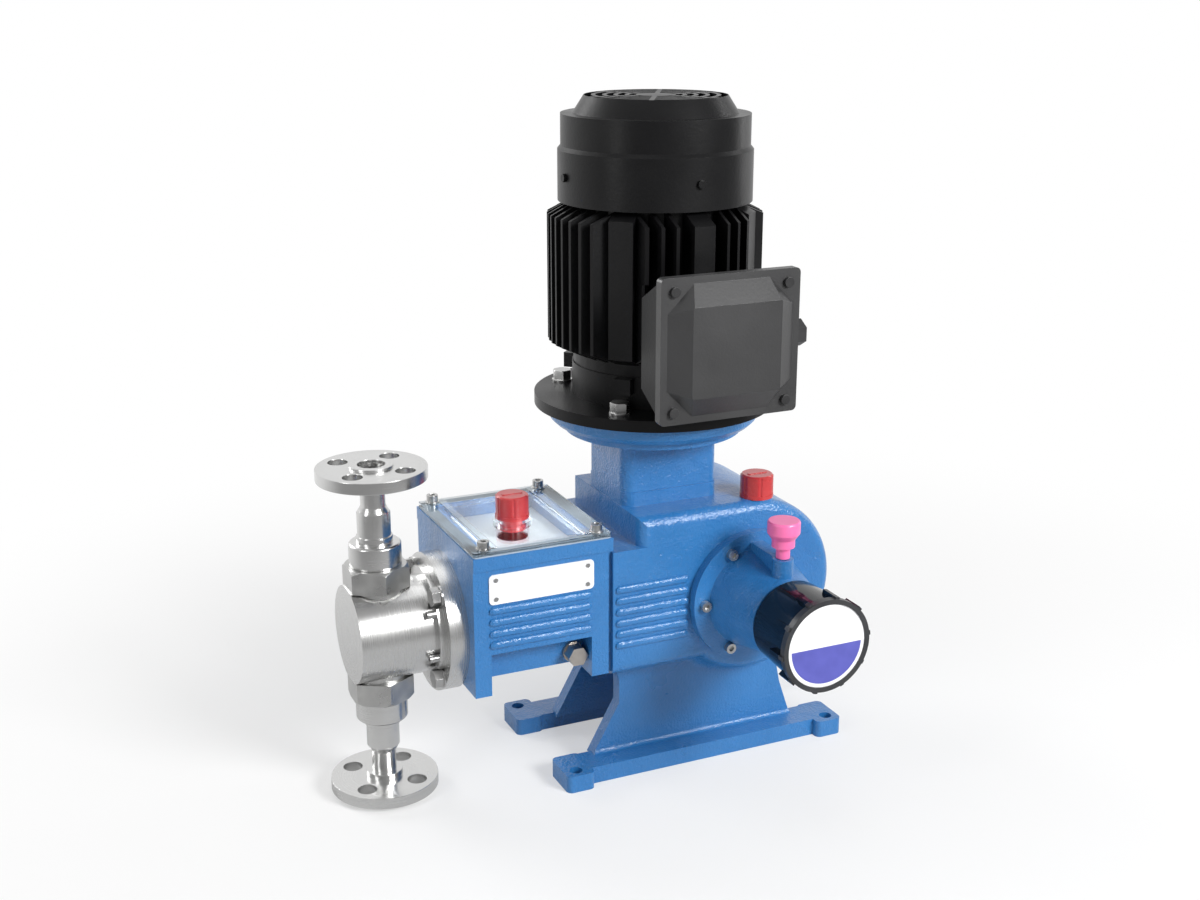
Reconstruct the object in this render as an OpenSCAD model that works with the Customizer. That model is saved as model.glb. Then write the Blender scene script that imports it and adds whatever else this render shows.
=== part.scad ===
/* [Base] */
// Spacing of the base holes along the plunger axis
base_hole_dx = 244.6; // [240:0.1:250]
// Spacing of the base holes across the plunger axis
base_hole_dy = 132; // [130:0.5:134]
// Diameter of the base holes
base_hole_d = 11; // [9:0.5:12]
// Height of the base rails
rail_h = 15; // [12:0.5:18]

/* [Drive axes] */
// Height of the plunger axis above the floor
axis_z = 143; // [142.5:0.1:143.5]
// Distance of the valve axis from the middle of the base
valve_x = -268; // [-269:0.5:-267]
// Distance of the motor axis from the middle of the base
motor_x = -21; // [-21.5:0.1:-20.5]
// Distance of the worm wheel axis from the middle of the base
wheel_x = 38.2; // [38:0.1:38.6]
// Height of the worm wheel and dial axis above the floor
wheel_z = 149.5; // [149:0.1:150]

/* [Pump end] */
// Diameter of the plunger
plunger_d = 22; // [18:0.5:24]
// Travel of the plunger to each side of its middle
half_stroke = 8; // [6:0.5:8]
// Radius of the pump head barrel
head_r = 40.5; // [39:0.5:42]
// Radius of the pump head flange
head_flange_r = 57.5; // [56:0.5:59]
// Width across flats of the valve union nuts
valve_nut_af = 48; // [47:0.5:50]
// Radius of the valve balls
ball_r = 9.5; // [9:0.1:10]

/* [Pipe flanges] */
// Diameter of the pipe flanges
pipe_flange_d = 88.9; // [86:0.1:95]
// Bolt circle diameter of the pipe flanges
pipe_pcd = 60.3; // [58:0.1:65]
// Diameter of the pipe flange holes
pipe_hole_d = 15.9; // [12:0.1:16]
// Thickness of the pipe flange plates
pipe_flange_t = 9.6; // [8:0.1:11]
// Height of the raised faces
raised_face_h = 2; // [1.5:0.1:3]

/* [Gear housing] */
// Half width of the gear housing
housing_half = 70; // [69.5:0.1:71]
// Height of the top of the gear housing
housing_top = 230; // [229:0.5:231]
// Edge radius of the front of the gear housing
front_edge_r = 10; // [6:0.5:12]
// Edge radius of the back of the gear housing
back_edge_r = 12; // [9:0.5:13]

/* [Worm gear] */
// Module of the worm and wheel
gear_module = 2.5; // [2.45:0.01:2.52]
// Thickness of a tooth on the pitch line
tooth_t = 3.2; // [2.6:0.1:3.5]

/* [Motor] */
// Radius of the motor flange
motor_flange_r = 100; // [96:1:104]
// Bolt circle radius of the motor flange
motor_pcr = 82.5; // [81:0.5:83]
// Radius of the cooling fin tips
fin_tip_r = 88; // [84:0.5:90]
// Thickness of one cooling fin
fin_t = 2.6; // [2:0.1:3.5]
// Radius of the fan cowl
cowl_r = 79.2; // [78:0.1:81]

/* [Dial] */
// Radius of the dial rim
dial_r = 39; // [37:0.5:41]
// Turns of the dial over the full stroke setting
dial_turns = 5; // [3:1:8]

/* [Hidden] */
$fn = 72;

// Running clearance of turning and sliding fits, and of parts that only stand near
run = 0.05;
gap = 0.3;
// Overlap of solids that are joined or cut
lap = 1;

// Base
rail_in = 40;
rail_out = 68;
rail_len = 240;
pad_in = 38;
pad_out = 76;
pad_x0 = base_hole_dx / 2 - 14;
pad_x1 = base_hole_dx / 2 + 11;
pad_r = 5;
web_in = 34;
web_out = 46;
cove_r = 14;
foot_r = 5;

// Gear housing
body_x0 = -90;
body_left_top = 205.5;
body_bottom = 96;
raised_x0 = -66;
corner_x = 43;
corner_z = 154;
corner_reach = housing_top - corner_z;
room_half = 56;
room_wall = 11;
room_top = housing_top - 12;
left_wall = 16;
dial_boss_y = -housing_half - 9;

// Neck and motor seat
neck_hx = 44;
neck_hy = 37;
neck_r = 10;
neck_step = 242;
neck_top = 287;
seat_r1 = 75;
seat_r2 = 87.5;
seat_z1 = 295;
seat_top = 309;
spigot_r = 65;
spigot_h = 3.5;
neck_bore_r = 30;

// Worm drive
worm_starts = 2;
wheel_teeth = 38;
wheel_pitch_r = gear_module * wheel_teeth / 2;
wheel_half = 8;
worm_pitch_r = wheel_x - motor_x - wheel_pitch_r;
gear_pitch = PI * gear_module;
worm_lead = gear_pitch * worm_starts;
addendum = gear_module;
dedendum = 1.25 * gear_module;
flank = tan(20);
worm_z0 = 122;
worm_z1 = 177;
low_bearing_r = 16;
low_shaft_r = 7.5;
low_bearing_z0 = 109;
low_bearing_z1 = 118;
top_bearing_r = 21;
top_shaft_r = 10;
top_bearing_z0 = 206;
top_bearing_z1 = 218;

// Wheel shaft
shaft_r = 12.5;
journal_r = 10;
journal_y = 50;
wheel_bearing_r = 21;
wheel_bearing_y0 = 52;
wheel_bearing_y1 = 64;
hub_r = 20;
hub_half = 14;
front_port_r = 38;
front_cover_r = 58;
pad_h = 0.5;
back_port_r = 51.5;
back_cover_r = 61;
back_pcr = 55.8;

// Crosshead and rod
pin_x = -52;
pin_r = 6;
crosshead_r = 24;
crosshead_x0 = -128;
bush_r = 30;
bush_x0 = -124;
bush_x1 = -76;
arm_in = crosshead_r + gap + 0.4;
arm_out = arm_in + 8;
eye_r = 12;
strap_r = 38;
ring_out_r = 30;
ring_in_r = shaft_r + 1.5 * half_stroke;

// Plunger chamber
ch_x0 = -210;
ch_x1 = body_x0;
ch_half = 68.5;
rim_half = ch_half + 1.5;
rim_z0 = 207.5;
rim_z1 = 218.5;
ch_floor = 106;
ch_step = 135;
ch_bottom = 99.5;
trough_half = 48;
plate_l = 14;
plate_r = 18.4;
room_x0 = ch_x0 + plate_l;
room_x1 = ch_x1 - plate_r;
room_y = ch_half - 8.5;
ledge_z = 203;
head_port_r = 28;
gasket_t = 1;
lid_t = 3.5;
lid_z0 = rim_z1 + gasket_t;
lid_z1 = lid_z0 + lid_t;
lid_x = (ch_x0 + ch_x1) / 2;
lid_hx = (ch_x1 - ch_x0) / 2 - 1;
lid_hy = rim_half - 1;
lid_screw_x = 48.5;
lid_screw_y = rim_half - 8;
cap_r = 14;
cap_h = 20;

// Ribs and name plate
rib_h = 5.6;
rib_pitch = 9.8;
rib_out = 1.5;
rib_top_z = 172.5;
name_x0 = -197;
name_x1 = -107;
name_z0 = 178;
name_z1 = 203;
name_t = 1.2;

// Pump head
head_x0 = -293;
head_x1 = ch_x0;
flange_t = 16;
shoulder_r = 47;
shoulder_t = 5;
head_bolt_pcr = 50;
box_r = 18;
plunger_r = plunger_d / 2;
bore_r = plunger_r + 2;
throat_x = -246;
spigot_x = -198;

// Valves, heights counted outward from the plunger axis
port_r = 8;
seat_in = 22;
seat_out = 30;
nut_seat = 39;
nut_out = 58;
collar_out = 77;
band_out = 82.5;
tube_out = 101.5;
cone_out = 107.5;
flange_in = 129.8;
flange_out = flange_in + pipe_flange_t;
face_out = flange_out + raised_face_h;
socket_in = flange_in + 3;
collar_r = 21.2;
band_r = 14.7;
tube_r = 13.5;
pipe_r = 10;
pipe_bore_r = 7.5;
pipe_port_r = 11;
weld_r = 15;
raised_face_r = 17.5;
cage_r = 17;
cage_bore_r = 11.5;
nut_bore_r = cage_r + run;
ball_lift = 3;
ball_rise = sqrt(ball_r * ball_r - port_r * port_r);

// Motor
shield_z0 = seat_top;
flange_top = 318.4;
shield_r = 68;
shield_top = 345;
frame_z0 = shield_top;
frame_z1 = 480;
frame_r = 67;
frame_bore = 58;
fin_foot = 62;
fin_root_z0 = 352;
fin_tip_z0 = 364;
fin_tip_z1 = 468;
fin_root_z1 = 481;
fin_pitch = 11;
motor_shaft_r = 9.5;
core_z0 = 362;
core_z1 = 458;
rotor_r = 36;
stator_r = 37;
cowl_z0 = 484;
cowl_h = 77;
cowl_step_z = cowl_z0 + 35;
cowl_top_z = cowl_z0 + cowl_h;
cowl_lip_z = cowl_top_z - 14;
cowl_upper_r = 76.7;
cowl_neck_r = 67;
cowl_top_r = 58;
sheet = 2;
fan_z0 = cowl_z0 + 8;
fan_hub_h = 21;
fan_r = 62;

// Terminal box
box_y0 = -131.5;
cover_t = 8;
box_y1 = box_y0 + cover_t;
box_y2 = -92;
cover_hx = 59.5;
cover_z0 = 326.5;
cover_z1 = 439.5;
box_hx = 56;
term_x = motor_x;

// Dial and adjuster
cone_y0 = dial_boss_y;
cone_y1 = -133;
lock_y = -121;
lock_top = 199;
dial_y0 = -137;
dial_y1 = -192;
spindle_r = 6;
spindle_travel = 20;

// Cylinders along the three axes, given by radius, both ends and the place of the axis
module rod_x(r, x0, x1, y = 0, z = 0) {
    translate([x0, y, z]) rotate([0, 90, 0]) cylinder(r = r, h = x1 - x0);
}

module rod_y(r, y0, y1, x = 0, z = 0) {
    translate([x, y0, z]) rotate([-90, 0, 0]) cylinder(r = r, h = y1 - y0);
}

module rod_z(r, z0, z1, x = 0, y = 0) {
    translate([x, y, z0]) cylinder(r = r, h = z1 - z0);
}

// Rings along the three axes
module ring_x(ro, ri, x0, x1, y = 0, z = 0) {
    difference() {
        rod_x(ro, x0, x1, y, z);
        rod_x(ri, x0 - lap, x1 + lap, y, z);
    }
}

module ring_y(ro, ri, y0, y1, x = 0, z = 0) {
    difference() {
        rod_y(ro, y0, y1, x, z);
        rod_y(ri, y0 - lap, y1 + lap, x, z);
    }
}

module ring_z(ro, ri, z0, z1, x = 0, y = 0) {
    difference() {
        rod_z(ro, z0, z1, x, y);
        rod_z(ri, z0 - lap, z1 + lap, x, y);
    }
}

// Box between two corners
module block(x0, x1, y0, y1, z0, z1) {
    translate([x0, y0, z0]) cube([x1 - x0, y1 - y0, z1 - z0]);
}

// Rectangle about the origin with round corners
module round_rect(hx, hy, r) {
    square([2 * (hx - r), 2 * hy], center = true);
    square([2 * hx, 2 * (hy - r)], center = true);
    for (sx = [-1, 1], sy = [-1, 1]) {
        translate([sx * (hx - r), sy * (hy - r)]) circle(r = r);
    }
}

// Outline in X and Z, extruded between two values of Y
module along_y(y0, y1) {
    translate([0, y1, 0]) rotate([90, 0, 0]) linear_extrude(y1 - y0) children();
}

// Outline in Y and Z, extruded between two values of X
module along_x(x0, x1) {
    translate([x0, 0, 0]) rotate([90, 0, 90]) linear_extrude(x1 - x0) children();
}

// Copies on both sides of the plane y = 0
module both_sides() {
    children();
    mirror([0, 1, 0]) children();
}

// Copies at four corners
module four_corners(dx, dy) {
    for (sx = [-1, 1], sy = [-1, 1]) {
        translate([sx * dx, sy * dy, 0]) children();
    }
}

// Copies spread round the Z axis
module around(count, radius, start = 0) {
    for (i = [0 : count - 1]) {
        rotate([0, 0, start + i * 360 / count]) translate([radius, 0, 0]) children();
    }
}

// Socket head screw whose head stands on z = 0
module socket_screw(head_r, head_h, shank_r, length) {
    difference() {
        rod_z(head_r, 0, head_h);
        translate([0, 0, head_h / 2]) cylinder(r = head_r * 0.55, h = head_h, $fn = 6);
    }
    rod_z(shank_r, -length, lap / 2);
}

// Hexagon screw with a washer whose washer stands on z = 0
module hex_screw(af, head_h, shank_r, length, washer_t = 1.6) {
    rod_z(af * 0.62, 0, washer_t);
    intersection() {
        translate([0, 0, washer_t]) cylinder(r = af / sqrt(3), h = head_h, $fn = 6);
        translate([0, 0, washer_t]) cylinder(r1 = af, r2 = af * 0.53, h = head_h);
    }
    rod_z(shank_r, -length, washer_t);
}

// Row of raised bars with round ends on a face at y = 0 that looks to -Y
module rib_row(x0, x1, z_top, count) {
    for (i = [0 : count - 1]) {
        translate([0, 0, z_top - i * rib_pitch]) along_y(-rib_out, lap) {
            translate([(x0 + x1) / 2, 0]) round_rect((x1 - x0) / 2, rib_h / 2, rib_h / 2 - 0.01);
        }
    }
}

// Section of the rounded end of the gear housing: reach outward by depth in Y
module edge_section(reach, r_front, r_back) {
    h = housing_half;
    translate([0, -h + r_front]) square([reach, 2 * h - r_front - r_back]);
    translate([0, -h]) square([reach - r_front, r_front]);
    translate([0, h - r_back]) square([reach - r_back, r_back]);
    intersection() {
        union() {
            translate([reach - r_front, -h + r_front]) circle(r = r_front);
            translate([reach - r_back, h - r_back]) circle(r = r_back);
        }
        translate([0, -h]) square([reach, 2 * h]);
    }
}

// Raised part of the gear housing with rounded edges
module raised_body() {
    intersection() {
        translate([raised_x0, 0, corner_z]) rotate(a = 180, v = [1, 0, 1])
            linear_extrude(corner_x - raised_x0)
                mirror([0, 1]) edge_section(corner_reach, front_edge_r, back_edge_r);
        translate([raised_x0 + housing_half + 50, 0, 0]) linear_extrude(housing_top + lap)
            round_rect(housing_half + 50, housing_half, front_edge_r);
    }
    translate([corner_x, 0, corner_z]) rotate([90, 0, 0]) rotate([0, 0, -140])
        rotate_extrude(angle = 230)
            mirror([0, 1]) edge_section(corner_reach, front_edge_r, back_edge_r);
}

// Lower left part of the gear housing, its bottom edges rounded
module low_body() {
    r = front_edge_r - 1;
    along_x(body_x0, corner_x) {
        translate([-housing_half, body_bottom + r])
            square([2 * housing_half, corner_z - body_bottom - r]);
        translate([-housing_half + r, body_bottom]) square([2 * (housing_half - r), r + lap]);
        for (s = [-1, 1]) translate([s * (housing_half - r), body_bottom + r]) circle(r = r);
    }
    block(body_x0, raised_x0 + front_edge_r, -housing_half, housing_half,
          corner_z - lap, body_left_top);
}

// Room inside the gear housing
module housing_room() {
    block(body_x0 + left_wall, corner_x, -room_half, room_half,
          body_bottom + room_wall, body_left_top - 10);
    block(raised_x0 + 10, corner_x, -room_half, room_half, corner_z, room_top);
    rod_y(corner_reach - room_wall - 1, -room_half, room_half, corner_x, corner_z);
}

// Side web of the pedestal, its left edge leaning and then curling out to the housing
module web_outline() {
    foot_l = -98;
    foot_r = 97;
    knee_x = -73;
    knee_z = 58;
    curl = 16;
    polygon(concat(
        [[foot_l, rail_h - 2], [foot_r, rail_h - 2], [85, 48], [80, 72], [80, 104]],
        [[body_x0 + 2, 104], [body_x0 + 2, body_bottom + 2]],
        [for (a = [70 : -14 : 0]) [knee_x - curl + curl * cos(a), knee_z + 20 + curl * sin(a)]],
        [[knee_x, knee_z]]
    ));
}

// Hollow fillet in the corner of two faces: the corner is at the origin, open to +X and -Y
module cove(r) {
    far = r - 0.2;
    difference() {
        translate([-lap, -far]) square([far + lap, far + lap]);
        translate([far, -far]) circle(r = r);
    }
}

// Fillets of the front web: a large one under the gear case and a small one on the rail
module web_fillets() {
    intersection() {
        along_y(-web_out - cove_r, -web_out + 2 * lap) web_outline();
        union() {
            mirror([0, 1, 0]) along_x(body_x0, corner_x)
                translate([web_out, body_bottom]) cove(cove_r);
            translate([corner_x, 0, corner_z]) rotate([90, 0, 0]) rotate([0, 0, -140])
                rotate_extrude(angle = 139)
                    translate([corner_reach, web_out]) rotate([0, 0, 90]) cove(cove_r);
            mirror([0, 1, 0]) along_x(body_x0 - 12, corner_x + 60)
                translate([web_out, rail_h]) mirror([0, 1]) cove(foot_r);
        }
    }
}

// Rails, pads and webs of the pedestal
module pedestal() {
    both_sides() {
        block(-rail_len / 2, rail_len / 2, rail_in, rail_out, 0, rail_h);
        for (s = [-1, 1]) {
            translate([s * (pad_x0 + pad_x1) / 2, (pad_in + pad_out) / 2, 0])
                linear_extrude(rail_h)
                    round_rect((pad_x1 - pad_x0) / 2, (pad_out - pad_in) / 2, pad_r);
        }
        along_y(web_in, web_out) web_outline();
    }
    for (x = [-86, 66]) {
        block(x, x + 14, -web_in - lap, web_in + lap, 82, body_bottom + 4);
    }
}

// Neck that carries the motor
module neck() {
    translate([motor_x, 0, corner_z + 40]) linear_extrude(neck_top - corner_z - 40 + lap)
        round_rect(neck_hx, neck_hy, neck_r);
    translate([motor_x, 0, corner_z + 40]) linear_extrude(neck_step - corner_z - 40)
        round_rect(neck_hx, neck_hy + 1.2, neck_r);
    translate([motor_x, 0, 0]) {
        rod_z(seat_r1, neck_top, seat_z1);
        translate([0, 0, seat_z1 - lap]) cylinder(r1 = seat_r2 - 4, r2 = seat_r2, h = 4);
        rod_z(seat_r2, seat_z1 + 3, seat_top);
    }
}

// Casting that carries everything: pedestal, gear case and motor seat
module gear_housing() {
    color("#2d6fb8") difference() {
        union() {
            pedestal();
            web_fillets();
            low_body();
            raised_body();
            neck();
            rod_z(13, 196, housing_top, 51, -54);
            rod_y(back_cover_r, housing_half - 8, housing_half + pad_h, wheel_x, wheel_z);
            rod_y(front_cover_r, -housing_half - pad_h, -housing_half + 8, wheel_x, wheel_z);
            translate([0, -housing_half, 0]) rib_row(-87.5, -21, rib_top_z, 6);
        }
        difference() {
            housing_room();
            rod_z(20, 90, low_bearing_z1, motor_x, 0);
            rod_z(27, top_bearing_z0 - 2, housing_top, motor_x, 0);
        }
        for (sx = [-1, 1], sy = [-1, 1]) {
            rod_z(base_hole_d / 2, -lap, rail_h + lap,
                  sx * base_hole_dx / 2, sy * base_hole_dy / 2);
        }
        rod_x(bush_r, body_x0 - lap, body_x0 + left_wall + lap, 0, axis_z);
        rod_y(front_port_r, -housing_half - pad_h - lap, -room_half + lap, wheel_x, wheel_z);
        rod_y(back_port_r, room_half - lap, housing_half + pad_h + lap, wheel_x, wheel_z);
        rod_z(neck_bore_r, top_bearing_z1 + 6, seat_top + lap, motor_x, 0);
        rod_z(top_bearing_r, top_bearing_z0, top_bearing_z1 + 7, motor_x, 0);
        rod_z(top_bearing_r - 3, top_bearing_z0 - 3, top_bearing_z0 + lap, motor_x, 0);
        rod_z(low_bearing_r, low_bearing_z0, low_bearing_z1 + lap, motor_x, 0);
        rod_z(spigot_r + run, seat_top - spigot_h - gap, seat_top + lap, motor_x, 0);
        rod_z(9, room_top - 12, housing_top + lap, 51, -54);
        motor_bolt_places() rod_z(4.1, seat_top - 12, seat_top + lap);
        adjuster_screw_places() rod_z(2.6, -14, pad_h + lap);
        back_screw_places() rod_z(2.6, -11, pad_h + lap);
        chamber_screw_places() rod_z(4.1, -12, lap);
        rod_y(6.1, housing_half - 12, housing_half + lap, -60, 112);
    }
}

// Places of the fasteners, each with its local Z along the screw axis and out of the face
module motor_bolt_places() {
    translate([motor_x, 0, 0]) around(4, motor_pcr, 45) children();
}

module adjuster_screw_places() {
    for (i = [0 : 5]) {
        translate([wheel_x, -housing_half, wheel_z]) rotate([90, 0, 0])
            rotate([0, 0, 60 * i]) translate([48.5, 0, 0]) children();
    }
}

module back_screw_places() {
    for (i = [0 : 5]) {
        translate([wheel_x, housing_half, wheel_z]) rotate([-90, 0, 0])
            rotate([0, 0, 30 + 60 * i]) translate([back_pcr, 0, 0]) children();
    }
}

module chamber_screw_places() {
    for (sy = [-1, 1], z = [axis_z + 8, axis_z + 47]) {
        translate([body_x0, sy * 44, z]) rotate([0, -90, 0]) children();
    }
}

module head_bolt_places() {
    for (i = [0 : 3]) {
        translate([head_x1 - flange_t, 0, axis_z]) rotate([0, -90, 0])
            rotate([0, 0, 45 + 90 * i]) translate([head_bolt_pcr, 0, 0]) children();
    }
}

module gland_screw_places() {
    for (s = [-1, 1]) {
        translate([-188, s * 22.5, axis_z]) rotate([0, 90, 0]) children();
    }
}

// Cover that carries the back bearing of the wheel shaft
module back_cover() {
    color("#2d6fb8") difference() {
        union() {
            rod_y(back_cover_r, housing_half + pad_h, housing_half + 8, wheel_x, wheel_z);
            rod_y(back_port_r - run, wheel_bearing_y0 - 2, housing_half + pad_h + lap, wheel_x, wheel_z);
            rod_y(30, housing_half, housing_half + 14, wheel_x, wheel_z);
        }
        rod_y(wheel_bearing_r, wheel_bearing_y0, wheel_bearing_y1, wheel_x, wheel_z);
        rod_y(wheel_bearing_r - 3, wheel_bearing_y0 - 3, wheel_bearing_y1 + 4, wheel_x, wheel_z);
        back_screw_places() rod_z(2.8, -lap, 9);
    }
}

module back_cover_screws() {
    color("silver") back_screw_places() translate([0, 0, 8]) socket_screw(4.5, 5, 2.5, 17);
}

// Open chamber between the pump head and the gear housing
module plunger_chamber() {
    color("#2d6fb8") difference() {
        union() {
            block(ch_x0, ch_x1, -ch_half, ch_half, ch_step, rim_z0);
            block(ch_x0, ch_x1, -rim_half, rim_half, rim_z0, rim_z1);
            block(ch_x0, ch_x1, -trough_half, trough_half, ch_floor, ch_step + lap);
            block(ch_x0, ch_x0 + plate_l, -ch_half, ch_half, ch_bottom, ch_step + lap);
            block(ch_x1 - plate_r, ch_x1, -ch_half, ch_half, ch_bottom, ch_step + lap);
            both_sides() translate([0, -ch_half, 0]) rib_row(-197, -108.4, rib_top_z, 4);
        }
        block(room_x0, room_x1, -room_y, room_y, ledge_z, rim_z1 + lap);
        block(room_x0 + 4, room_x1 - 4, -room_y + 4, room_y - 4, ch_step + 6, ledge_z + lap);
        block(room_x0 + 4, room_x1 - 4, -trough_half + 7, trough_half - 7,
              ch_floor + 6, ch_step + 7);
        both_sides() {
            block(ch_x1 - 3.4, ch_x1 + lap, -ch_half - lap, -ch_half + 3,
                  ch_bottom - lap, rim_z0);
        }
        rod_x(head_port_r, ch_x0 - lap, room_x0 + 5, 0, axis_z);
        rod_x(bush_r, room_x1 - 5, ch_x1 + lap, 0, axis_z);
        lid_screw_places() rod_z(2.6, rim_z1 - 10, rim_z1 + lap);
        head_bolt_places() rod_z(4.6, -flange_t - 15, 0);
        chamber_screw_places() rod_z(4.4, -lap, plate_r + 6);
        rivet_places() rod_z(1.1, -5, lap);
        rod_y(5.1, -trough_half - lap, -trough_half + 8, -117.6, 116);
        rod_z(4.1, ch_floor - lap, ch_floor + 7, -168, -30);
    }
}

module chamber_screws() {
    color("silver") chamber_screw_places()
        translate([0, 0, plate_r + 4]) socket_screw(6.5, 8, 4, plate_r + 15);
}

module lid_screw_places() {
    translate([lid_x, 0, 0]) four_corners(lid_screw_x, lid_screw_y) children();
}

// Bright sheet under the lid that keeps oil mist off it
module splash_plate() {
    color("gainsboro") difference() {
        block(room_x0 + gap, room_x1 - gap, -room_y + gap, room_y - gap, ledge_z, ledge_z + 1.5);
        rod_z(cap_r - 1, ledge_z - lap, ledge_z + 3, lid_x, 0);
    }
}

module lid_gasket() {
    color("#404448") difference() {
        translate([lid_x, 0, rim_z1]) linear_extrude(gasket_t) round_rect(lid_hx, lid_hy, 3);
        translate([lid_x, 0, rim_z1 - lap]) linear_extrude(gasket_t + 2 * lap)
            round_rect(lid_hx - 10, lid_hy - 8.5, 3);
        lid_screw_places() rod_z(2.8, rim_z1 - lap, lid_z0 + lap);
    }
}

// Clear lid with a locating lip below
module chamber_lid() {
    color("#dfe8ee", 0.4) difference() {
        union() {
            translate([lid_x, 0, lid_z0]) linear_extrude(lid_t) round_rect(lid_hx, lid_hy, 3);
            translate([(room_x0 + room_x1) / 2, 0, 0]) difference() {
                translate([0, 0, lid_z0 - 4]) linear_extrude(4 + lap)
                    round_rect((room_x1 - room_x0) / 2 - 0.5, room_y - 0.5, 3);
                translate([0, 0, lid_z0 - 5]) linear_extrude(5)
                    round_rect((room_x1 - room_x0) / 2 - 3.5, room_y - 3.5, 2);
            }
            rod_z(cap_r + 2, lid_z0 - 5, lid_z0 + lap, lid_x, 0);
        }
        rod_z(cap_r - 3 + run, lid_z0 - 6, lid_z1 + lap, lid_x, 0);
        lid_screw_places() rod_z(2.8, lid_z0 - lap, lid_z1 + lap);
    }
}

module lid_screws() {
    color("silver") lid_screw_places() translate([0, 0, lid_z1]) {
        rod_z(6, 0, 1.4);
        translate([0, 0, 1.4]) socket_screw(4.8, 5.5, 2.5, lid_t + gasket_t + 9);
    }
}

// Screw cap with twelve flats, standing on z = 0
module screw_cap(stem_r, stem_len) {
    difference() {
        union() {
            rod_z(cap_r + 0.2, 0, 3);
            translate([0, 0, 3 - lap]) cylinder(r = cap_r, h = cap_h - 4 + lap, $fn = 12);
            translate([0, 0, cap_h - 1]) cylinder(r1 = cap_r - 0.6, r2 = cap_r - 1.6, h = 1);
        }
        for (i = [0 : 5]) {
            rotate([0, 0, 15 + 60 * i]) translate([cap_r + 0.8, 0, 3])
                cylinder(r = 1.8, h = cap_h);
        }
    }
    translate([0, 0, cap_h - 0.5]) linear_extrude(1.2) round_rect(9, 2, 1.9);
    rod_z(stem_r, -stem_len, lap);
}

module lid_cap() {
    color("#c8323c") translate([lid_x, 0, lid_z1]) screw_cap(cap_r - 3, 12);
}

module oil_cap() {
    color("#c8323c") translate([51, -54, housing_top]) screw_cap(9 - run, 10);
}

module name_outline(t) {
    translate([0, -ch_half, 0]) along_y(-t, 0)
        translate([(name_x0 + name_x1) / 2, (name_z0 + name_z1) / 2])
            round_rect((name_x1 - name_x0) / 2, (name_z1 - name_z0) / 2, 3.5);
}

module rivet_places() {
    for (x = [name_x0 + 5.5, name_x1 - 5.5], z = [name_z0 + 4.5, name_z1 - 4.5]) {
        translate([x, -ch_half, z]) rotate([90, 0, 0]) children();
    }
}

module name_plate() {
    color("white") difference() {
        name_outline(name_t);
        rivet_places() rod_z(1.15, -lap, 3);
    }
}

module plate_rivets() {
    color("silver") rivet_places() {
        rod_z(1.05, -4, name_t + 0.3);
        rod_z(1.9, name_t, name_t + 0.8);
    }
}

module drain_plugs() {
    color("#7a6a5a") {
        translate([-117.6, -trough_half, 116]) rotate([90, 0, 0]) {
            rod_z(8.8, 0, 3);
            translate([0, 0, 3 - 0.5]) cylinder(r = 8.6, h = 12, $fn = 6);
            rod_z(5, -6, lap);
        }
        translate([-168, -30, ch_floor]) rotate([180, 0, 0]) {
            cylinder(r = 6, h = 5, $fn = 6);
            rod_z(4, -5, lap);
        }
        translate([-60, housing_half, 112]) rotate([-90, 0, 0]) {
            cylinder(r = 9.5, h = 7, $fn = 6);
            rod_z(6, -10, lap);
        }
    }
}

// Barrel, flange and spigot of the pump head
module head_blank() {
    rod_x(head_r, head_x0, head_x1 - lap, 0, axis_z);
    rod_x(head_flange_r, head_x1 - flange_t, head_x1, 0, axis_z);
    rod_x(shoulder_r, head_x1 - flange_t - shoulder_t, head_x1 - lap, 0, axis_z);
    rod_x(head_port_r - run, head_x1 - lap, spigot_x, 0, axis_z);
}

module pump_head() {
    color("gainsboro") difference() {
        head_blank();
        rod_x(bore_r, head_x0 + 12, throat_x + lap, 0, axis_z);
        rod_x(box_r, throat_x, spigot_x + lap, 0, axis_z);
        for (s = [0, 1]) translate([valve_x, 0, axis_z]) mirror([0, 0, s]) {
            rod_z(port_r + 2, 0, seat_in + lap);
            rod_z(cage_r + run, seat_in, seat_out + lap);
            rod_z(cage_r + 5, seat_out, nut_seat + lap);
            rod_z(30, nut_seat, head_r + lap);
        }
        head_bolt_places() {
            rod_z(5, -flange_t - lap, lap);
            rod_z(10, 0, shoulder_t + lap);
        }
        vent_places() rod_z(2.6, -9, lap);
        gland_screw_places() rod_z(2.6, -34, lap);
    }
}

module head_bolts() {
    color("silver") head_bolt_places() hex_screw(14, 7, 4.5, flange_t + 13);
}

module vent_places() {
    for (a = [20, -30]) {
        translate([head_x1 - flange_t - shoulder_t, 0, axis_z]) rotate([a, 0, 0])
            translate([0, -43.9, 0]) rotate([0, -90, 0]) children();
    }
}

module vent_screws() {
    color("silver") vent_places() socket_screw(3.2, 8, 2.5, 8);
}

// Packing set round the plunger
module packing_rings() {
    color("ivory") for (x = [-246, -240.5, -235, -223, -217.5]) {
        ring_x(box_r - run, plunger_r + run, x + 0.1, x + 5.4, 0, axis_z);
    }
}

module lantern_ring() {
    color("gold") difference() {
        ring_x(box_r - run, plunger_r + run, -229.5, -223, 0, axis_z);
        ring_x(box_r + lap, box_r - 2.5, -228, -224.5, 0, axis_z);
        for (a = [0 : 90 : 270]) translate([-226.25, 0, axis_z]) rotate([a, 0, 0]) rod_z(1.5, 0, 30);
    }
}

module packing_gland() {
    color("silver") difference() {
        union() {
            rod_x(box_r - run, -212, spigot_x + 2, 0, axis_z);
            rod_x(27, spigot_x + 2, spigot_x + 10, 0, axis_z);
        }
        rod_x(plunger_r + run, -213, -180, 0, axis_z);
        gland_screw_places() rod_z(2.8, -11, lap);
    }
}

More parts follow.
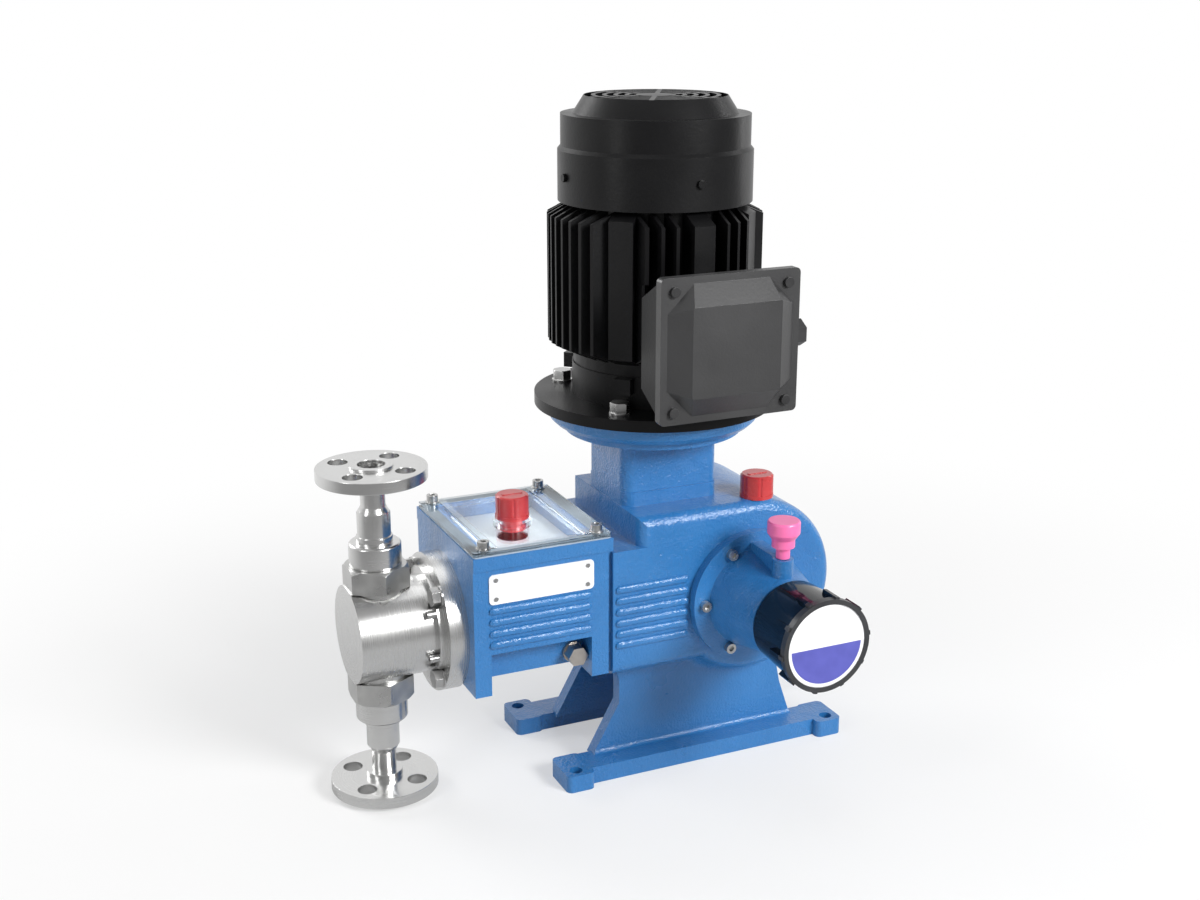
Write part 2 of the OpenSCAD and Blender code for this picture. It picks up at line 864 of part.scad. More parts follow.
module gland_screws() {
    color("silver") gland_screw_places() {
        cylinder(r = 4.6, h = 4, $fn = 6);
        rod_z(2.5, -30, lap);
    }
}

// One side of the valve train, built upward from the plunger axis
module valve_nut() {
    difference() {
        union() {
            intersection() {
                translate([0, 0, nut_seat]) rotate([0, 0, 30])
                    cylinder(r = valve_nut_af / sqrt(3), h = nut_out - nut_seat, $fn = 6);
                translate([0, 0, nut_seat])
                    cylinder(r1 = valve_nut_af * 0.9, r2 = valve_nut_af * 0.52,
                             h = nut_out - nut_seat);
            }
            rod_z(cage_r + 5 - run, seat_out, nut_seat + lap);
        }
        rod_z(nut_bore_r, seat_out - lap, nut_out + lap);
    }
}

// Valve body with its pipe and the welded pipe flange
module valve_pipe() {
    difference() {
        union() {
            rod_z(cage_r, nut_out - 6, nut_out + lap);
            rod_z(collar_r, nut_out, collar_out - 1.5);
            translate([0, 0, collar_out - 1.5])
                cylinder(r1 = collar_r, r2 = collar_r - 1.5, h = 1.5);
            rod_z(band_r, collar_out - lap, band_out);
            rod_z(tube_r, band_out - lap, tube_out);
            translate([0, 0, tube_out]) cylinder(r1 = tube_r, r2 = pipe_r, h = cone_out - tube_out);
            rod_z(pipe_r, cone_out - lap, socket_in);
            rod_z(weld_r, flange_in - 5, flange_in + lap);
            rod_z(pipe_flange_d / 2, flange_in, flange_out);
            rod_z(raised_face_r, flange_out - lap, face_out);
        }
        rod_z(pipe_bore_r, nut_out - 7, socket_in + lap);
        rod_z(pipe_port_r, socket_in, face_out + lap);
        around(4, pipe_pcd / 2, 45) rod_z(pipe_hole_d / 2, flange_in - lap, flange_out + lap);
    }
}

module valve_seat(z0, z1) {
    ring_z(cage_r - run, port_r, z0, z1);
}

// Cage round a ball: open at z0, a web with three slots at z1
module valve_cage(z0, z1, web) {
    difference() {
        rod_z(cage_r - run, min(z0, z1), max(z0, z1));
        rod_z(cage_bore_r, min(z0, z1 + web), max(z0, z1 - web));
        around(3, 7.5) rod_z(2.6, z1 - 6, z1 + 6);
    }
}

module above_axis() {
    translate([valve_x, 0, axis_z]) children();
}

module below_axis() {
    translate([valve_x, 0, axis_z]) mirror([0, 0, 1]) children();
}

module suction_nut() {
    color("silver") below_axis() valve_nut();
}

module discharge_nut() {
    color("silver") above_axis() valve_nut();
}

module suction_pipe() {
    color("gainsboro") below_axis() valve_pipe();
}

module discharge_pipe() {
    color("gainsboro") above_axis() valve_pipe();
}

module valve_seats() {
    color("silver") {
        above_axis() valve_seat(seat_in, seat_out);
        below_axis() valve_seat(nut_out - 14, nut_out - 6);
    }
}

module valve_cages() {
    color("silver") {
        above_axis() difference() {
            rod_z(cage_r - run, seat_out, nut_out - 6);
            rod_z(cage_bore_r, seat_out - lap, discharge_ball_z + ball_r + ball_lift + 0.2);
            around(3, 7.5) rod_z(2.6, seat_out, nut_out);
        }
        below_axis() difference() {
            rod_z(cage_r - run, seat_in, nut_out - 14);
            rod_z(cage_bore_r, suction_ball_z - ball_r - ball_lift - 0.2, nut_out);
            around(3, 7.5) rod_z(2.6, seat_in - lap, nut_out - 14);
        }
    }
}

// Ball centres on their seats, counted outward from the plunger axis
discharge_ball_z = seat_out + ball_rise + 0.02;
suction_ball_z = nut_out - 14 - ball_rise - 0.02;

module suction_ball() {
    color("white") translate([valve_x, 0, axis_z - suction_ball_z]) sphere(r = ball_r);
}

module discharge_ball() {
    color("white") translate([valve_x, 0, axis_z + discharge_ball_z]) sphere(r = ball_r);
}

// Plunger, its union nut and the crosshead that drives it
module plunger() {
    color("whitesmoke") {
        rod_x(plunger_r, -264, -148, 0, axis_z);
        rod_x(plunger_r + 3, -154, -146, 0, axis_z);
    }
}

module plunger_nut() {
    color("silver") difference() {
        translate([-158, 0, axis_z]) rotate([0, 90, 0]) cylinder(r = 21, h = 26, $fn = 6);
        rod_x(plunger_r + run, -160, -150, 0, axis_z);
        rod_x(plunger_r + 3 + run, -154, -145.9, 0, axis_z);
        rod_x(13 + run, -146, -130, 0, axis_z);
    }
}

module crosshead() {
    color("silver") difference() {
        union() {
            rod_x(13, -146, crosshead_x0 + lap, 0, axis_z);
            rod_x(crosshead_r - run, crosshead_x0, pin_x - 10, 0, axis_z);
            intersection() {
                rod_x(crosshead_r - run, pin_x - 11, pin_x + 11, 0, axis_z);
                block(pin_x - 12, pin_x + 11, -crosshead_r, crosshead_r, axis_z - 14, axis_z + 14);
            }
        }
        block(pin_x - 10, pin_x + 12, -14, 14, axis_z - 30, axis_z + 30);
        rod_y(pin_r, -30, 30, pin_x, axis_z);
    }
}

module crosshead_pin() {
    color("silver") rod_y(pin_r, -arm_out - 1.5, arm_out + 1.5, pin_x, axis_z);
}

module guide_bush() {
    color("goldenrod") ring_x(bush_r - 0.01, crosshead_r, bush_x0, bush_x1, 0, axis_z);
}

// Forked rod from the crosshead pin to the stroke rings, its arms joined over the crosshead
module connecting_rod() {
    tie_x0 = pin_x - 4;
    tie_x1 = pin_x + 5;
    tie_z0 = axis_z + 19;
    tie_z1 = axis_z + 27;
    color("#8a8f94") difference() {
        union() {
            both_sides() {
                rod_y(eye_r, arm_in, arm_out, pin_x, axis_z);
                rod_y(strap_r, arm_in, arm_out, wheel_x, wheel_z);
                along_y(arm_in, arm_out) polygon([
                    [pin_x, axis_z - 9], [wheel_x, wheel_z - 22],
                    [wheel_x, wheel_z + 22], [pin_x, axis_z + 9]
                ]);
                block(tie_x0, tie_x1, arm_in, arm_out, axis_z, tie_z1);
            }
            block(tie_x0, tie_x1, -arm_in - lap, arm_in + lap, tie_z0, tie_z1);
        }
        rod_y(pin_r + run, -arm_out - lap, arm_out + lap, pin_x, axis_z);
        rod_y(ring_out_r + run, -arm_out - lap, arm_out + lap, wheel_x, wheel_z);
    }
}

module stroke_rings() {
    color("goldenrod") both_sides() ring_y(ring_out_r, ring_in_r, arm_in, arm_out, wheel_x, wheel_z);
}

module eccentric_shaft() {
    color("silver") difference() {
        union() {
            rod_y(shaft_r, -journal_y, journal_y, wheel_x, wheel_z);
            rod_y(journal_r, -66, 66, wheel_x, wheel_z);
        }
        rod_y(spindle_r + 0.2, -67, -66 + spindle_travel + 12, wheel_x, wheel_z);
    }
}

// Outline of the worm wheel teeth
function tooth_points(i) =
    let (a = i * 360 / wheel_teeth,
         root = wheel_pitch_r - dedendum,
         tip = wheel_pitch_r + addendum,
         w_root = (tooth_t / 2 + dedendum * flank) / root * 180 / PI,
         w_tip = (tooth_t / 2 - addendum * flank) / tip * 180 / PI)
    [
        [root * cos(a - w_root), root * sin(a - w_root)],
        [tip * cos(a - w_tip), tip * sin(a - w_tip)],
        [tip * cos(a + w_tip), tip * sin(a + w_tip)],
        [root * cos(a + w_root), root * sin(a + w_root)]
    ];

module worm_wheel() {
    slant = worm_lead / (2 * PI * worm_pitch_r);
    twist = 2 * wheel_half * slant / wheel_pitch_r * 180 / PI;
    color("goldenrod") difference() {
        translate([wheel_x, 0, wheel_z]) rotate([-90, 0, 0]) {
            linear_extrude(2 * wheel_half, center = true, twist = -twist, slices = 4)
                rotate([0, 0, 180 - twist / 2])
                    polygon([for (i = [0 : wheel_teeth - 1]) each tooth_points(i)]);
            cylinder(r = hub_r, h = 2 * hub_half, center = true);
        }
        rod_y(shaft_r, -hub_half - lap, hub_half + lap, wheel_x, wheel_z);
        both_sides() translate([wheel_x, 0, wheel_z]) rotate([-90, 0, 0])
            translate([0, 0, 4]) difference() {
                cylinder(r = wheel_pitch_r - 8, h = 6);
                translate([0, 0, -lap]) cylinder(r = hub_r + lap, h = 8);
            }
    }
}

// One start of the worm thread, from z = 0 upward
module thread_start(turns, steps) {
    r_in = worm_pitch_r - dedendum - 0.4;
    r_tip = worm_pitch_r + addendum;
    w_in = tooth_t / 2 + (dedendum + 0.4) * flank;
    w_tip = tooth_t / 2 - addendum * flank;
    n = floor(turns * steps);
    pts = [for (i = [0 : n], p = [[r_in, -w_in], [r_tip, -w_tip], [r_tip, w_tip], [r_in, w_in]])
        let (a = 360 * i / steps)
        [p[0] * cos(a), p[0] * sin(a), p[1] + worm_lead * i / steps]];
    sides = [for (i = [0 : n - 1], k = [0 : 3])
        let (a = 4 * i + k, b = 4 * i + (k + 1) % 4)
        [[a, b, b + 4], [a, b + 4, a + 4]]];
    ends = [[3, 2, 1], [3, 1, 0], [4 * n, 4 * n + 1, 4 * n + 2], [4 * n, 4 * n + 2, 4 * n + 3]];
    polyhedron(points = pts, faces = concat([for (s = sides) each s], ends));
}

module worm_shaft() {
    turns = floor((worm_z1 - worm_z0 - 8) / worm_lead * 4) / 4;
    first = wheel_z + gear_pitch / 2 - worm_lead * 2;
    root_r = worm_pitch_r - dedendum;
    color("silver") translate([motor_x, 0, 0]) {
        rod_z(low_shaft_r, low_bearing_z0 + 0.5, worm_z0);
        rod_z(root_r, worm_z0 - 3, worm_z1);
        rod_z(top_shaft_r, worm_z1 - lap, top_bearing_z1 + 2);
        rod_z(top_shaft_r + 3, worm_z1 + 8, top_bearing_z0 - 0.5);
        rod_z(motor_shaft_r, top_bearing_z1, 263);
        for (k = [0 : worm_starts - 1]) {
            translate([0, 0, first]) rotate([0, 0, 360 * k / worm_starts])
                thread_start(turns, 32);
        }
    }
}

module coupling() {
    color("dimgray") difference() {
        union() {
            rod_z(17, 238, 262, motor_x, 0);
            rod_z(21, 262, 268, motor_x, 0);
            rod_z(17, 268, 292, motor_x, 0);
        }
        rod_z(motor_shaft_r, 237, 293, motor_x, 0);
    }
}

// Sealed rolling bearing: two rings with a seal sunk between them on both faces
module bearing(r_out, r_in, z0, z1) {
    wide = (r_out - r_in) / 3.5;
    difference() {
        ring_z(r_out, r_in + run, z0, z1);
        for (z = [z0, z1]) ring_z(r_out - wide, r_in + wide, z - 0.8, z + 0.8);
    }
}

module bearings() {
    color("silver") {
        translate([motor_x, 0, 0]) {
            bearing(low_bearing_r, low_shaft_r, low_bearing_z0, low_bearing_z1);
            bearing(top_bearing_r, top_shaft_r, top_bearing_z0, top_bearing_z1);
            bearing(20, motor_shaft_r, 322, 334);
            bearing(20, motor_shaft_r, 466, 478);
        }
        for (s = [-1, 1]) {
            translate([wheel_x, s * (wheel_bearing_y0 + wheel_bearing_y1) / 2, wheel_z])
                rotate([90, 0, 0])
                    bearing(wheel_bearing_r, journal_r,
                            (wheel_bearing_y0 - wheel_bearing_y1) / 2,
                            (wheel_bearing_y1 - wheel_bearing_y0) / 2);
        }
    }
}

// Adjuster: cone with the dial spindle nut, bolted on the front port
module adjuster_housing() {
    color("#2d6fb8") difference() {
        union() {
            rod_y(front_cover_r, cone_y0, -housing_half - pad_h, wheel_x, wheel_z);
            rod_y(front_port_r - run, -housing_half - pad_h - lap, -wheel_bearing_y0 + 2, wheel_x, wheel_z);
            translate([wheel_x, cone_y1, wheel_z]) rotate([-90, 0, 0])
                cylinder(r1 = 33, r2 = 44, h = cone_y0 - cone_y1 + lap);
            rod_y(30, dial_y0 + gap, cone_y1 + lap, wheel_x, wheel_z);
            rod_z(8.8, wheel_z, lock_top, wheel_x, lock_y);
            block(wheel_x - 6, wheel_x + 6, lock_y, cone_y0 + lap, wheel_z, lock_top);
        }
        rod_y(wheel_bearing_r, -wheel_bearing_y1, -wheel_bearing_y0 + 3, wheel_x, wheel_z);
        rod_y(14, -100, -wheel_bearing_y1 + lap, wheel_x, wheel_z);
        rod_y(spindle_r + run, dial_y0 - lap, -98, wheel_x, wheel_z);
        rod_z(3.6 + run, wheel_z + 12, lock_top + lap, wheel_x, lock_y);
        adjuster_screw_places() rod_z(2.8, -lap, 10);
    }
}

module adjuster_screws() {
    color("silver") adjuster_screw_places() translate([0, 0, 9]) socket_screw(4.5, 5, 2.5, 21);
}

// Hand screw that clamps the spindle
module lock_screw() {
    color("#e85a96") translate([wheel_x, lock_y, 0]) {
        rod_z(3.6, wheel_z + 14, lock_top + 2);
        rod_z(5.8, lock_top + gap, 210);
        rod_z(9.5, 209, 217);
        translate([0, 0, 216]) cylinder(r1 = 10, r2 = 13.5, h = 5);
        rod_z(13.5, 221, 230);
        translate([0, 0, 230]) cylinder(r1 = 13.5, r2 = 12.5, h = 1.5);
    }
}

module adjust_spindle() {
    color("silver") rod_y(spindle_r, -180, -64, wheel_x, wheel_z);
}

// Knob: black shell with grip ribs near its front
module adjust_knob() {
    color("#181a1c") difference() {
        union() {
            translate([wheel_x, dial_y1 + 6, wheel_z]) rotate([-90, 0, 0])
                cylinder(r1 = dial_r - 1.5, r2 = dial_r - 4, h = dial_y0 - dial_y1 - 6);
            rod_y(dial_r, dial_y1, dial_y1 + 6, wheel_x, wheel_z);
            for (a = [12 : 36 : 348]) {
                translate([wheel_x, 0, wheel_z]) rotate([0, a, 0])
                    block(-1.8, 1.8, dial_y1 + 1, dial_y1 + 20, dial_r - 4, dial_r + 1.6);
            }
        }
        rod_y(dial_r - 4, dial_y1 - lap, dial_y1 + 3, wheel_x, wheel_z);
        ring_y(dial_r - 8, 13, dial_y1 + 8, dial_y0 + lap, wheel_x, wheel_z);
        rod_y(30 + gap + 1, dial_y0 - 10, dial_y0 + lap, wheel_x, wheel_z);
        rod_y(spindle_r + run, dial_y1 + 8, dial_y0 + lap, wheel_x, wheel_z);
    }
}

// Round plate in the front of the knob
module dial_plate() {
    color("white") rod_y(dial_r - 4.1, dial_y1 + 1, dial_y1 + 3, wheel_x, wheel_z);
}

// Lower end shield of the motor with its mounting flange
module motor_shield() {
    color("#1c1d1f") difference() {
        union() {
            rod_z(motor_flange_r, shield_z0, flange_top, motor_x, 0);
            rod_z(spigot_r, shield_z0 - spigot_h, shield_z0 + lap, motor_x, 0);
            rod_z(shield_r, flange_top - lap, shield_top, motor_x, 0);
            translate([motor_x, 0, 0]) around(4, 70, 45)
                block(-12, 8, -7, 7, flange_top + 14, shield_top);
        }
        rod_z(spigot_r - 8, shield_z0 - 6, shield_z0 + 4, motor_x, 0);
        rod_z(frame_bore, 334, shield_top + lap, motor_x, 0);
        rod_z(20, 322, 335, motor_x, 0);
        rod_z(16, 300, 323, motor_x, 0);
        motor_bolt_places() rod_z(4.6, shield_z0 - lap, flange_top + lap);
    }
}

module flange_bolts() {
    color("silver") motor_bolt_places() translate([0, 0, flange_top]) hex_screw(14, 8, 4, 20);
}

// Envelope that trims the cooling fins: round tips and slanting ends
module fin_envelope() {
    translate([motor_x, 0, 0]) rotate_extrude() polygon([
        [fin_foot, fin_root_z0], [fin_tip_r, fin_tip_z0],
        [fin_tip_r, fin_tip_z1], [fin_foot, fin_root_z1]
    ]);
}

// Fins of one side, pointing to -Y before they are turned
module fin_group(offsets) {
    for (x = offsets) {
        block(x - fin_t / 2, x + fin_t / 2, -fin_tip_r - lap, -fin_foot + 10, fin_root_z0 - lap,
              fin_root_z1 + lap);
    }
}

module motor_frame() {
    many = [for (i = [-4 : 4]) i * fin_pitch];
    few = [for (i = [-4, -3, -2, 2, 3, 4]) i * fin_pitch];
    color("#1c1d1f") difference() {
        union() {
            rod_z(frame_r, frame_z0, frame_z1 + 2, motor_x, 0);
            difference() {
                intersection() {
                    fin_envelope();
                    translate([motor_x, 0, 0]) {
                        fin_group(few);
                        rotate([0, 0, 90]) fin_group(many);
                        rotate([0, 0, -90]) fin_group(many);
                        rotate([0, 0, 180]) fin_group(many);
                        block(-9, 9, -fin_tip_r, 0, fin_root_z0, fin_root_z1);
                        for (a = [45 : 90 : 315]) rotate([0, 0, a])
                            block(0, 82, -10, 10, fin_root_z0, fin_root_z1);
                    }
                }
                block(motor_x - 52, motor_x + 52, -fin_tip_r - lap, -fin_foot - 8,
                      fin_root_z0 - 20, 424);
            }
            block(motor_x - 36, motor_x + 36, box_y2, 0, 352, 413);
            rod_z(cowl_r - sheet - 0.02, frame_z1, frame_z1 + 8, motor_x, 0);
            translate([motor_x, 0, 0]) around(4, cowl_r - sheet - 6, 0)
                block(-3, 5.4, -7, 7, frame_z1 + 7, cowl_z0 + 22);
        }
        rod_z(frame_bore, frame_z0 - lap, 466, motor_x, 0);
        rod_z(20, 466 - lap, 478, motor_x, 0);
        rod_z(12, 470, frame_z1 + 9, motor_x, 0);
        block(motor_x - 12, motor_x + 12, box_y2 - lap, -50, 370, 395);
        cowl_screw_places() rod_z(2.1, -16, lap);
    }
}

// Stator iron with its winding heads
module stator() {
    color("peru") difference() {
        union() {
            rod_z(frame_bore - run, core_z0, core_z1, motor_x, 0);
            rod_z(54, 348, core_z1 + 6, motor_x, 0);
        }
        rod_z(stator_r, 340, 470, motor_x, 0);
        rod_z(42, 340, core_z0 - 2, motor_x, 0);
        rod_z(42, core_z1 + 2, 470, motor_x, 0);
    }
}

module motor_rotor() {
    color("silver") {
        rod_z(motor_shaft_r, 266, fan_z0 + fan_hub_h + 2, motor_x, 0);
        rod_z(rotor_r, core_z0, core_z1, motor_x, 0);
        rod_z(14, 338, 464, motor_x, 0);
    }
}

module cooling_fan() {
    color("#303234") translate([motor_x, 0, 0]) difference() {
        union() {
            rod_z(18, fan_z0, fan_z0 + fan_hub_h, 0, 0);
            rod_z(fan_r, fan_z0, fan_z0 + 3, 0, 0);
            around(7, fan_r - 24) block(-22, 24, -1.2, 1.2, fan_z0 + 2, fan_z0 + fan_hub_h + 3);
        }
        rod_z(motor_shaft_r, fan_z0 - 2, fan_z0 + fan_hub_h + 7, 0, 0);
    }
}

// Sheet cowl over the fan with a ring grille in its top
module fan_cowl() {
    s = sheet;
    color("#1c1d1f") translate([motor_x, 0, 0]) {
        difference() {
            rotate_extrude() polygon([
                [cowl_r - s, cowl_z0 - 6], [cowl_r, cowl_z0 - 6], [cowl_r, cowl_step_z],
                [cowl_upper_r, cowl_step_z + 3], [cowl_upper_r, cowl_lip_z],
                [cowl_neck_r, cowl_lip_z], [cowl_top_r, cowl_top_z], [0, cowl_top_z],
                [0, cowl_top_z - s], [cowl_top_r - 1, cowl_top_z - s],
                [cowl_neck_r - s, cowl_lip_z - s], [cowl_upper_r - s, cowl_lip_z - s],
                [cowl_upper_r - s, cowl_step_z + 2], [cowl_r - s, cowl_step_z - 1]
            ]);
            for (r = [16 : 9 : 52]) difference() {
                ring_z(r + 5.5, r, cowl_top_z - 4, cowl_top_z + lap);
                for (a = [0 : 60 : 120]) rotate([0, 0, a])
                    block(-90, 90, -2, 2, cowl_top_z - 5, cowl_top_z + 2);
            }
            translate([-motor_x, 0, 0]) cowl_screw_places() rod_z(2.2, -10, lap);
        }
    }
}

module cowl_screw_places() {
    for (a = [0 : 90 : 270]) {
        translate([motor_x, 0, 499]) rotate([0, 0, a]) translate([cowl_r, 0, 0])
            rotate([0, 90, 0]) children();
    }
}

module cowl_screws() {
    color("#1c1d1f") cowl_screw_places() {
        rod_z(3.4, 0, 2.6);
        rod_z(2, -6, lap);
    }
}

// Terminal box: its sides flare toward the cover
module terminal_box() {
    color("#1c1d1f") difference() {
        along_x(term_x - box_hx, term_x + box_hx) polygon([
            [box_y2, 347], [box_y1, 329], [box_y1, 436], [box_y2, 418]
        ]);
        block(term_x - box_hx + 4, term_x + box_hx - 4, box_y1 - lap, box_y2 - 4, 351, 414);
        rod_x(8, term_x + box_hx - 6, term_x + box_hx + lap, -106, 382);
        rod_y(10, box_y1, box_y2 + lap, term_x, 382);
        cover_screw_places() rod_z(2.1, -9, lap);
    }
}

module cover_screw_places() {
    for (sx = [-1, 1], z = [336.5, 429]) {
        translate([term_x + sx * 48.5, box_y1, z]) rotate([90, 0, 0]) children();
    }
}

// Cover with a raised centre whose sides slope
module terminal_cover() {
    mid = (cover_z0 + cover_z1) / 2;
    rise = 11;
    foot = 54;
    top = 38;
    cut = 59;
    color("#1c1d1f") translate([term_x, 0, mid]) difference() {
        union() {
            along_y(box_y0, box_y1) round_rect(cover_hx, (cover_z1 - cover_z0) / 2, 4);
            intersection() {
                slope_bar(foot, top, rise, cover_hx);
                rotate([0, 90, 0]) slope_bar(foot - 3, top - 3, rise, cover_hx);
                rotate([0, 45, 0]) slope_bar(cut, cut - 8, rise, 2 * cover_hx);
                rotate([0, -45, 0]) slope_bar(cut, cut - 8, rise, 2 * cover_hx);
            }
        }
        block(-44, 44, box_y1 - 4, box_y1 + lap, -42, 42);
        translate([-term_x, 0, -mid]) cover_screw_places() rod_z(2.3, -lap, cover_t + lap);
    }
}

// Bar along Z with sloping sides, standing on the front of the cover
module slope_bar(foot, top, rise, half) {
    translate([0, 0, -half]) linear_extrude(2 * half) polygon([
        [-foot, box_y0 + lap], [-foot, box_y0], [-top, box_y0 - rise],
        [top, box_y0 - rise], [foot, box_y0], [foot, box_y0 + lap]
    ]);
}

module terminal_screws() {
    color("#26282a") cover_screw_places() translate([0, 0, cover_t]) {
        rod_z(4, 0, 3);
        rod_z(2, -15, lap);
    }
}

// Cable gland: only the inlet, no cable
module cable_gland() {
    x = term_x + box_hx;
    color("#26282a") difference() {
        union() {
            rod_x(7.9, x - 6, x + lap, -106, 382);
            translate([x, -106, 382]) rotate([0, 90, 0]) cylinder(r = 12, h = 6, $fn = 6);
            rod_x(9, x + 5, x + 12, -106, 382);
            translate([x + 12, -106, 382]) rotate([0, 90, 0]) cylinder(r = 11, h = 9, $fn = 6);
        }
        rod_x(5, x - 7, x + 22, -106, 382);
    }
}

gear_housing();
back_cover();
back_cover_screws();
plunger_chamber();
chamber_screws();
splash_plate();
lid_gasket();
chamber_lid();
lid_screws();
lid_cap();
oil_cap();
name_plate();
plate_rivets();
drain_plugs();
pump_head();
head_bolts();
vent_screws();
packing_rings();
lantern_ring();
packing_gland();
gland_screws();
suction_nut();
suction_pipe();
discharge_nut();
discharge_pipe();
valve_seats();
valve_cages();
suction_ball();
discharge_ball();
plunger();
plunger_nut();
crosshead();
crosshead_pin();
guide_bush();
connecting_rod();
stroke_rings();
eccentric_shaft();
worm_wheel();
adjuster_housing();
adjuster_screws();
lock_screw();
adjust_spindle();
adjust_knob();
dial_plate();
worm_shaft();
coupling();
bearings();
motor_shield();
flange_bolts();
motor_frame();
stator();
motor_rotor();
cooling_fan();
fan_cowl();
cowl_screws();
terminal_box();
terminal_cover();
terminal_screws();
cable_gland();
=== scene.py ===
"""Looks of the plunger metering pump: finishes, small pieces, light and camera."""

import math

import bmesh
import bpy
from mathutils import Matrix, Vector


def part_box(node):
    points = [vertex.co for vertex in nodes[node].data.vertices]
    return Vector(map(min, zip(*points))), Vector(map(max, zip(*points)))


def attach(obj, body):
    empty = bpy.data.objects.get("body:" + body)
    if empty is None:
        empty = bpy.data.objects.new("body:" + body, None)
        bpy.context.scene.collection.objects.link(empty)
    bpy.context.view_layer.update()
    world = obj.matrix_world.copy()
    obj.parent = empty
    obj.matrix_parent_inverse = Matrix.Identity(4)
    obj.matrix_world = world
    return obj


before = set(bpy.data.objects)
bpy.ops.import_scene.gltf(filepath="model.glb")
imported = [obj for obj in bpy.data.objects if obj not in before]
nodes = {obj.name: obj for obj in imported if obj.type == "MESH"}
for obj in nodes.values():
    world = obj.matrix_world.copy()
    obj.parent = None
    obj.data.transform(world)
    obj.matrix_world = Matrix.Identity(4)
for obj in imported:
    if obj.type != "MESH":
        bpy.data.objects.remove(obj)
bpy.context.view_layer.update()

# Places in metres, as in the CAD frame
PLUNGER_Z = 0.143
VALVE_X = -0.268
WHEEL_X = 0.0382
WHEEL_Z = 0.1495
KNOB_RIM_Y = -0.1855
DIAL_FIELD_RADIUS = 0.0318

# Camera, from the calibration of the photograph
CAMERA_PLACE = (-0.5907, -1.1441, 0.6577)
CAMERA_PITCH = 17.12
CAMERA_YAW = 24.47
CAMERA_LENS = 47.0

# Depth of the rings that turning leaves, in metres
RING_DEPTH = 0.000004

# Strength of the plain fill light
FILL_LIGHT = 0.22

# What shiny faces see of the room: level before the object and behind it, and the same of the floor
ROOM_LEVELS = (0.40, 1.0)
FLOOR_LEVELS = (0.35, 1.0)

# Floor in metres: its side, and where it starts and ends to turn white; share of white at the start
FLOOR_SIZE = 40
FADE_START = 0.2
FADE_END = 0.95
FADE_LEAST = 0.45

# Cast ribs in metres: height of the top one, distance between two, half their height, how far they
# stand out, and for each row its first and last x, the y of its face and the count of ribs
RIB_TOP = 0.1725
RIB_PITCH = 0.0098
RIB_HALF = 0.0035
RIB_RISE = 0.0026
RIB_ROWS = {
    "case_ribs": (-0.0875, -0.021, -0.070, 6),
    "chamber_ribs_front": (-0.197, -0.1084, -0.0685, 4),
    "chamber_ribs_back": (-0.197, -0.1084, 0.0685, 4),
}

# Clear strips on the lid in metres: distance from its middle, half width, height, gap under them,
# how far they end before the lid does, and their edge radius
STRIP_X = 0.0405
STRIP_HALF = 0.0030
STRIP_TOP = 0.0009
STRIP_GAP = 0.00002
STRIP_END = 0.005
STRIP_EDGE = 0.0006

# Bend over which an edge counts as sharp, in degrees
SHARP_ANGLE = 32


def new_material(name):
    """An empty node material and its main shader."""
    material = bpy.data.materials.new(name)
    material.use_nodes = True
    return material, material.node_tree, material.node_tree.nodes["Principled BSDF"]


def node(tree, kind, inputs=None, **settings):
    """A node with its settings; an input is a constant or another node's output."""
    made = tree.nodes.new(kind)
    for key, value in settings.items():
        setattr(made, key, value)
    for key, value in (inputs or {}).items():
        plug(tree, made, key, value)
    return made


def plug(tree, target, key, value):
    """Sets one input of a node to a constant, or links it."""
    if isinstance(value, bpy.types.NodeSocket):
        tree.links.new(value, target.inputs[key])
    else:
        target.inputs[key].default_value = value


def place(tree):
    """Object coordinates, which are metres in the CAD frame."""
    return node(tree, "ShaderNodeTexCoord").outputs["Object"]


def noise(tree, vector, scale, detail=2.0, roughness=0.5):
    """Value of a noise field of so many waves per metre."""
    made = node(tree, "ShaderNodeTexNoise", {"Vector": vector, "Scale": scale, "Detail": detail,
                                             "Roughness": roughness})
    return made.outputs["Fac"]


def ramp(tree, value, low, high, start=0.3, end=0.7):
    """Colour between low and high as the value goes from start to end."""
    made = node(tree, "ShaderNodeValToRGB", {"Fac": value})
    first, last = made.color_ramp.elements
    first.position, first.color = start, (*low, 1)
    last.position, last.color = end, (*high, 1)
    return made.outputs["Color"]


def span(tree, value, low, high, start=0.3, end=0.7):
    """Number between low and high as the value goes from start to end."""
    made = node(tree, "ShaderNodeMapRange", {"Value": value, "From Min": start, "From Max": end,
                                             "To Min": low, "To Max": high})
    return made.outputs["Result"]


def math_node(tree, operation, first, second):
    """Result of one sum on two values."""
    made = node(tree, "ShaderNodeMath", {0: first, 1: second}, operation=operation)
    return made.outputs["Value"]


def bump(tree, height, distance, strength=1.0, normal=None):
    """Normal that stands out where the height is large."""
    inputs = {"Height": height, "Distance": distance, "Strength": strength}
    if normal is not None:
        inputs["Normal"] = normal
    return node(tree, "ShaderNodeBump", inputs).outputs["Normal"]


